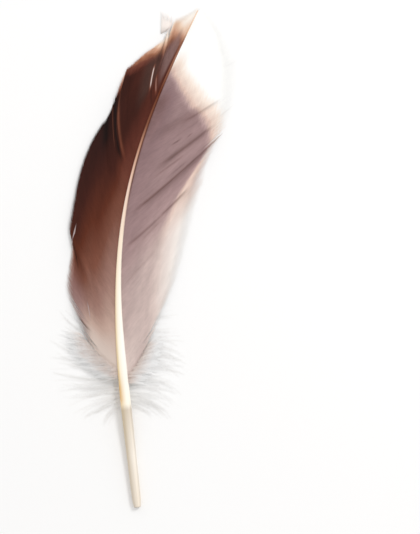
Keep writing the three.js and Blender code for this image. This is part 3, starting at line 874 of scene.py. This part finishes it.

# %% [markdown]
# Horn is a little clear, so the quill shows warm depth under a glossy skin, with lengthwise
# streaks and a darker band just under the down. Above the down it turns opaque cream, and past
# the middle it takes up the vane's brown. Light scattered under the skin could be traced, but
# that is slow and hard to steer. So two ramps along the shaft give the side toward the lamp and
# the one away from it, with a soft line between them: low on the shaft that is painted light and
# painted shade, and past the middle the side toward the lamp takes the darker brown. Keratin's
# IOR is about 1.55.

# %% Shaft: horn, polished by growth
# Smooth and clear on top, so the eye gets a soft highlight along a cream rod. The brown end has
# less clear horn over it, so its gloss goes down toward the tip.
# Low on the shaft, NEAR_SIDE is its painted lit side toward the lamp and FAR_SIDE its painted shaded side.
FAR_SIDE = [
    (0.0, "#d5c9b9"), (0.10, "#d4c4ac"), (0.192, "#cfbc9c"), (0.202, "#fbe2b8"), (0.212, "#f2c88a"),
    (0.235, "#eec27c"), (0.27, "#f6dda8"), (0.45, "#fce6c4"), (0.56, "#fbe6d2"), (0.62, "#f3d6c4"),
    (0.66, "#e6bfa9"), (0.71, "#c3937a"), (0.76, "#84543f"), (0.83, "#65321f"), (0.90, "#9a6a54"),
    (0.935, "#8a5c48"), (0.955, "#e0b898"), (0.985, "#f0d3ba")]
NEAR_SIDE = [
    (0.0, "#f3e6d4"), (0.10, "#f8efe2"), (0.192, "#dccfbd"), (0.202, "#fff8e8"), (0.30, "#fffdf6"),
    (0.45, "#fcf3e2"), (0.53, "#f4e4d0"), (0.58, "#caa997"), (0.63, "#74503f"), (0.68, "#4c2818"),
    (0.71, "#441b0e"), (0.83, "#3c170c"), (0.90, "#8a5a46"), (0.935, "#8a5c48"), (0.955, "#e6c6ac"),
    (0.985, "#f3dac4")]
# Painted shade round the quill: a thin dark line near its edge on the lamp side, and a faint one beside its
# top.
QUILL_RIM_SHADE = [(0.30, 0.97), (0.345, 0.72), (0.375, 0.95), (0.43, 1.0), (0.47, 0.92), (0.54, 0.97),
             (0.7, 1.0)]
# The quill is 14.3 mm round. Its streaks are the horn's fibres, far under 0.1 mm wide, which
# would not show, so they are drawn 0.55 mm wide and 24 mm long.
QUILL_ROUND = 14.3
STREAK = (0.55, 24.444)

horn, tree, shader = new_material("quill_horn_cream")
place, around, along = read_place(tree)
far_side, near_side = [node(tree, "ValToRGB", {"Fac": along}, stops) for stops in (FAR_SIDE, NEAR_SIDE)]
turn = node(tree, "MapRange", {0: along, 1: 0.48, 2: 0.58, 3: 0.68, 4: 0.54})
round_it = node(tree, "Math", {0: turn, 1: around}, operation="SUBTRACT")
nearer = node(tree, "MapRange", {0: round_it, 1: 0.0, 2: 0.24}, **SMOOTHLY)
base = node(tree, "Mix", {0: nearer, 6: far_side, 7: near_side}, **TINTS)
rim = node(tree, "ValToRGB", {"Fac": around}, QUILL_RIM_SHADE)
on_quill = node(tree, "MapRange", {0: along, 1: 0.215, 2: 0.19}, **SMOOTHLY)
rim_shaded = node(tree, "Mix", {0: on_quill, 2: 1.0, 3: rim})
print("shaft: nodes for its two sides:", len(tree.nodes))

# %% [markdown]
# Over that colour lie the horn's streaks, which also make a very low bump, and the pit in the cut
# end gets painted shade, darker the deeper it goes.

# %% Shaft: streaks, pit and gloss
streak_scale = (QUILL_ROUND / STREAK[0], FEATHER_LENGTH / STREAK[1], 1)
stretched = node(tree, "Mapping", {"Vector": place, "Scale": streak_scale})
streaks = node(tree, "TexNoise", {"Vector": stretched, "Scale": 1.0, "Detail": 4.0})
streak = node(tree, "MapRange", {0: streaks, 1: 0.3, 2: 0.7, 3: 0.95, 4: 1.04})
sunk = node(tree, "Attribute", attribute_name="shade", out="Fac")
pit_shade = node(tree, "MapRange", {0: sunk, 3: 1.0, 4: 0.25})
light = node(tree, "Math", {0: streak, 1: pit_shade}, **TIMES)
evened = node(tree, "Math", {0: light, 1: rim_shaded}, **TIMES)
toned = node(tree, "VectorMath", {0: base, "Scale": evened}, operation="SCALE")
ripples = node(tree, "Bump", {"Height": streaks, "Strength": 0.2, "Distance": 0.0002})
gloss = node(tree, "MapRange", {0: along, 1: 0.55, 2: 0.72, 3: 0.4, 4: 0.08})
tree.links.new(toned, shader.inputs["Base Color"])
tree.links.new(ripples, shader.inputs["Normal"])
tree.links.new(gloss, shader.inputs["Specular IOR Level"])
shader.inputs["Roughness"].default_value = 0.34
shader.inputs["IOR"].default_value = 1.55
shaft.data.materials.append(horn)
print("shaft: streaks round the quill:", round(streak_scale[0]))

# %% [markdown]
# Down has no hooks, so its barbs float apart. Each is a fine stem with hundreds of hair-thin
# barbules. Hair curves would render well, but they are lost when the feather is saved as a
# model, so stems are ribbons and each barbule is one long triangle, all in one mesh a side.
# The stems of the down leave the shaft. Those of the fringe leave the lowest part of a vane, so
# that the vane's foot passes into down without an edge.

# %% Where the down and its fringe grow
LEFT_DOWN = dict(
    side=-1, first=0.203, last=0.33,
    root_angle=[(0.203, 112), (0.22, 104), (0.235, 92), (0.26, 76), (0.305, 60), (0.33, 50)],
    tip_angle=[(0.203, 142), (0.22, 122), (0.235, 92), (0.26, 64), (0.305, 44), (0.33, 34)],
    length=[(0.203, 13), (0.222, 23), (0.235, 28), (0.25, 32), (0.27, 33), (0.305, 32), (0.33, 30)],
)
RIGHT_DOWN = dict(
    side=1, first=0.203, last=0.335,
    root_angle=[(0.203, 112), (0.22, 98), (0.235, 82), (0.26, 60), (0.305, 44), (0.335, 36)],
    tip_angle=[(0.203, 146), (0.22, 136), (0.235, 124), (0.26, 126), (0.30, 108), (0.335, 56)],
    length=[(0.203, 13), (0.22, 22), (0.235, 27), (0.26, 31), (0.28, 31), (0.305, 29), (0.335, 33)],
)
# A fringe's angles and lengths go by how far out on the vane a stem starts.
LEFT_FRINGE = dict(
    side=-1, first=0.253, last=0.274, vane=OUTER,
    root_angle=[(0.0, 88), (0.3, 76), (0.6, 62)],
    tip_angle=[(0.0, 110), (0.3, 98), (0.6, 80)],
    length=[(0.0, 11), (0.3, 13), (0.6, 11)],
)
RIGHT_FRINGE = dict(
    side=1, first=0.239, last=0.258, vane=INNER,
    root_angle=[(0.0, 84), (0.3, 70), (0.6, 58)],
    tip_angle=[(0.0, 120), (0.3, 104), (0.6, 84)],
    length=[(0.0, 10), (0.3, 12), (0.6, 10)],
)
longest_stem = max(length for down in (LEFT_DOWN, RIGHT_DOWN) for _, length in down["length"])
print("longest stem of the down, mm:", longest_stem)

# %% [markdown]
# Stems stick together in clumps of a few. So some of a stem's sway and curl is shared by its
# clump and the rest is its own, which gives tufts with gaps between them. A stem leaves the
# shaft low, rises over a small hump and droops to the table.

# %% Stems of down
FRINGE_SPREAD = 0.7
FRINGE_LIFT = 0.3
FRINGE_DROOP = 1.6
DOWN_ROOT_RISE = 0.25
DOWN_DROOP = 1.6
DOWN_HUMP = (0.03, 0.3)
CLUMP = 3
# Degrees that a clump sways at its root and adds toward its tip, that each stem adds of its own,
# and by how much a clump's waves bend it, with how much that differs from clump to clump.
CLUMP_SWAY = (4, 9)
OWN_SWAY = 9
CURL = (5, 3)
WAVES = 6
WAVE_START = 0.8
STEM_LENGTHS = (0.55, 1.0)
STEM_GAP = 0.12
STEM_STEPS = 26


def stem_lines(down, count):
    """Curved stems of down: count x step x 3, in mm, with the places t they leave the shaft at."""
    t = down["first"] + (down["last"] - down["first"]) * (np.arange(count) + rng.random(count)) / count
    place, start, foot = t, shaft_xy(t), DOWN_ROOT_RISE * smooth(CENTRE_HEIGHT, t)
    if "vane" in down:
        place = rng.permutation(count) / count * FRINGE_SPREAD
        start, foot = read_chart(*chart(down["vane"]), t, place), vane_height(t, place) + FRINGE_LIFT
    u = np.linspace(0, 1, STEM_STEPS + 1)[None]
    heading = shaft_heading(t)[:, None]
    lock = np.arange(count) // CLUMP
    shared = rng.normal(0, 1, (lock[-1] + 1, 4))[lock]
    bent_more = CLUMP_SWAY[1] * shared[:, 1:2] + rng.normal(0, OWN_SWAY, (count, 1))
    sway = CLUMP_SWAY[0] * shared[:, :1] + bent_more * u
    wave = u * (WAVES + shared[:, 3:]) + rng.uniform(0, WAVE_START, (count, 1)) + lock[:, None]
    curl = (CURL[0] + CURL[1] * shared[:, 2:3]) * np.sin(wave)
    root, tip = smooth(down["root_angle"], place)[:, None], smooth(down["tip_angle"], place)[:, None]
    way = heading + down["side"] * np.radians(root * (1 - u) + tip * u + sway + curl)
    length = smooth(down["length"], place) * rng.uniform(*STEM_LENGTHS, count)
    step = (length / STEM_STEPS)[:, None]
    x = np.cumsum(step * np.sin(way), axis=1) + start[:, :1]
    y = np.cumsum(step * np.cos(way), axis=1) + start[:, 1:]
    z = foot[:, None] * (1 - u ** FRINGE_DROOP if "vane" in down else (1 - u) ** DOWN_DROOP)
    z = z + rng.uniform(*DOWN_HUMP, (count, 1)) * np.sin(np.pi * u ** 0.8) + STEM_GAP
    return np.stack([x, y, z], axis=-1), t, length


# %% [markdown]
# Barbules stand on both sides of a stem and lean toward its tip. Real ones are some hundredths
# of a millimetre apart and thinner still, too fine and too many to show, so these are 0.06 mm
# wide at the foot and 0.17 mm apart.

# %% Barbules of down
BARBULE_SPACING = 0.17
BARBULE_LENGTH = 1.5
BARBULE_LENGTHS = (0.6, 1.1)
BARBULE_WIDTH = 0.06
BARBULE_LEAN = (0.6, 0.18)
BARBULE_TILT = 0.12
FULLNESS = (0.45, 0.8)
BARE_FOOT = 0.06
LOWEST_DOWN = 0.03


def barbules(stems, t, length):
    """Long thin triangles along both sides of every stem, as faces of three points."""
    corners, places = [], []
    for line, at, long in zip(stems, t, length):
        number = int(long / BARBULE_SPACING)
        where = (np.arange(number) + rng.random(number)) / number
        where = where[where > BARE_FOOT]
        knots = np.linspace(0, 1, len(line))
        foot = np.stack([np.interp(where, knots, line[:, k]) for k in range(3)], axis=-1)
        run = np.stack([np.interp(where, knots, np.gradient(line[:, k])) for k in range(3)], axis=-1)
        run /= np.linalg.norm(run, axis=1, keepdims=True)
        side = np.stack([run[:, 1], -run[:, 0], 0 * run[:, 0]], axis=-1)
        fullness = FULLNESS[0] + FULLNESS[1] * np.sin(np.pi * where ** 0.7)
        for hand in (-1, 1):
            lean = rng.normal(*BARBULE_LEAN, (len(where), 1))
            tilt = rng.normal(0, BARBULE_TILT, (len(where), 1))
            size = BARBULE_LENGTH * fullness * rng.uniform(*BARBULE_LENGTHS, len(where))
            reach = np.cos(lean) * run + hand * np.sin(lean) * side
            reach[:, 2:] += tilt
            tip = foot + reach * size[:, None]
            half_foot = run * BARBULE_WIDTH / 2
            corners.append(np.stack([foot - half_foot, tip, foot + half_foot], axis=1))
            places.append(np.stack([where, np.full(len(where), at)], axis=-1))
    corners, places = np.concatenate(corners), np.concatenate(places)
    corners[..., 2] = np.maximum(corners[..., 2], LOWEST_DOWN)
    return corners, places


print("barbules on the longest stem:", 2 * int(longest_stem / BARBULE_SPACING))

# %% [markdown]
# Stems and barbules of one side become one mesh. It keeps for each point how far along its stem
# it is, where on the shaft it belongs, and one tone for the whole stem with its barbules.

# %% The down as meshes
STEM_HALF_WIDTH = 0.06
DOWN_TONE = (0.45, 0.3)


def make_down(name, down, count):
    """Stems as ribbons and barbules as triangles, in one mesh."""
    stems, t, length = stem_lines(down, count)
    run = np.gradient(stems[..., :2], axis=1)
    run /= np.linalg.norm(run, axis=2, keepdims=True)
    side = np.stack([run[..., 1], -run[..., 0]], axis=-1)
    u = np.linspace(0, 1, STEM_STEPS + 1)
    grey = np.clip(rng.normal(*DOWN_TONE, count), 0, 1)
    half = (STEM_HALF_WIDTH * (1 - 0.8 * u))[None, :, None]
    left, right = stems.copy(), stems.copy()
    left[..., :2] -= side * half
    right[..., :2] += side * half
    ribbons = np.stack([left, right], axis=2)
    ribbons[..., 2] = np.maximum(ribbons[..., 2], LOWEST_DOWN)
    hairs, hair_place = barbules(stems, t, length)
    stem_points = ribbons.reshape(-1, 3)
    index = np.arange(len(stem_points)).reshape(count, STEM_STEPS + 1, 2)
    quads = np.stack([index[:, :-1, 0], index[:, 1:, 0], index[:, 1:, 1], index[:, :-1, 1]], axis=-1)
    quads = quads.reshape(-1, 4)
    triangles = np.arange(len(hairs) * 3).reshape(-1, 3) + len(stem_points)
    points = np.concatenate([stem_points, hairs.reshape(-1, 3)]) * MM
    mesh = bpy.data.meshes.new(name)
    mesh.from_pydata(points.tolist(), [], quads.tolist() + triangles.tolist())
    sides = np.zeros(ribbons.shape[:3])
    stem_place = np.stack([sides + u[None, :, None], sides + t[:, None, None]], axis=-1).reshape(-1, 2)
    place = np.concatenate([stem_place, np.repeat(hair_place, 3, axis=0)])
    corner = np.concatenate([quads.ravel(), triangles.ravel()])
    mesh.uv_layers.new(name="place").data.foreach_set("uv", place[corner].ravel().astype(np.float32))
    per_stem = [int((np.abs(hair_place[:, 1] - at) < 1e-9).sum()) * 3 for at in t]
    tone = np.concatenate([np.repeat(grey, 2 * (STEM_STEPS + 1)), np.repeat(grey, per_stem)])
    mesh.attributes.new("tone", "FLOAT", "POINT").data.foreach_set("value", tone.astype(np.float32))
    made = bpy.data.objects.new(name, mesh)
    bpy.context.scene.collection.objects.link(made)
    print(name, count, "stems,", len(hairs), "barbules")
    return made


left_down = make_down("left_down", LEFT_DOWN, 150)
right_down = make_down("right_down", RIGHT_DOWN, 140)
left_fringe = make_down("left_fringe", LEFT_FRINGE, 240)
right_fringe = make_down("right_fringe", RIGHT_FRINGE, 190)

# %% [markdown]
# Down has no pigment. A glassy, see-through hair would be true to it, but hundreds of layers of
# those are slow, and many thin white hairs look much the same. What shade there is comes from one
# clump lying over another, and from stems that are a little greyer than their neighbours.

# %% Down: keratin without pigment
# White and dull, so it nearly melts into the card and shows by its own soft shadows.
down_white, tree, shader = new_material("down_keratin_unpigmented")
own = node(tree, "Attribute", attribute_name="tone", out="Fac")
tint = node(tree, "ValToRGB", {"Fac": own}, [(0.0, "#efeeec"), (0.4, "#f9f8f7"), (0.75, "#ffffff")])
tree.links.new(tint, shader.inputs["Base Color"])
shader.inputs["Roughness"].default_value = 0.7
shader.inputs["Specular IOR Level"].default_value = 0.25
for piece in (left_down, right_down):
    piece.data.materials.append(down_white)
print("down: stops of its tone:", len(tint.node.color_ramp.elements))

# %% [markdown]
# The fringe starts on the vane, so its stems have the vane's tan at their feet and lose it
# before their middle. Two materials would leave a line where they meet, and one ramp along the
# stem doesn't.

# %% Fringe at the foot of both vanes: keratin that fades from tan to white
# As dull as the down, and tan at the foot, so the eye finds no edge between vane and down.
down_tan, tree, shader = new_material("down_keratin_tan_to_white")
place, u, t = read_place(tree)
fade = node(tree, "ValToRGB", {"Fac": u}, [
    (0.0, "#dccbc1"), (0.2, "#e8ddd7"), (0.38, "#f6f2f0"), (0.6, "#ffffff")])
tree.links.new(fade, shader.inputs["Base Color"])
shader.inputs["Roughness"].default_value = 0.7
shader.inputs["Specular IOR Level"].default_value = 0.25
for piece in (left_fringe, right_fringe):
    piece.data.materials.append(down_tan)
print("fringe: stops of its fade:", len(fade.node.color_ramp.elements))

# %% [markdown]
# All eight meshes belong to the feather's one body, and together they stand in for its solid.

# %% Hand every piece to the frame
finishes = {shaft: "shaft", outer_vane: "outer_vane", inner_vane: "inner_vane", left_down: "down",
            right_down: "down", left_fringe: "down", right_fringe: "down", loose_barbs: "outer_vane"}
for piece, finish in finishes.items():
    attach(piece, "root")
    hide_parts("feather")
print("pieces:", len(finishes))
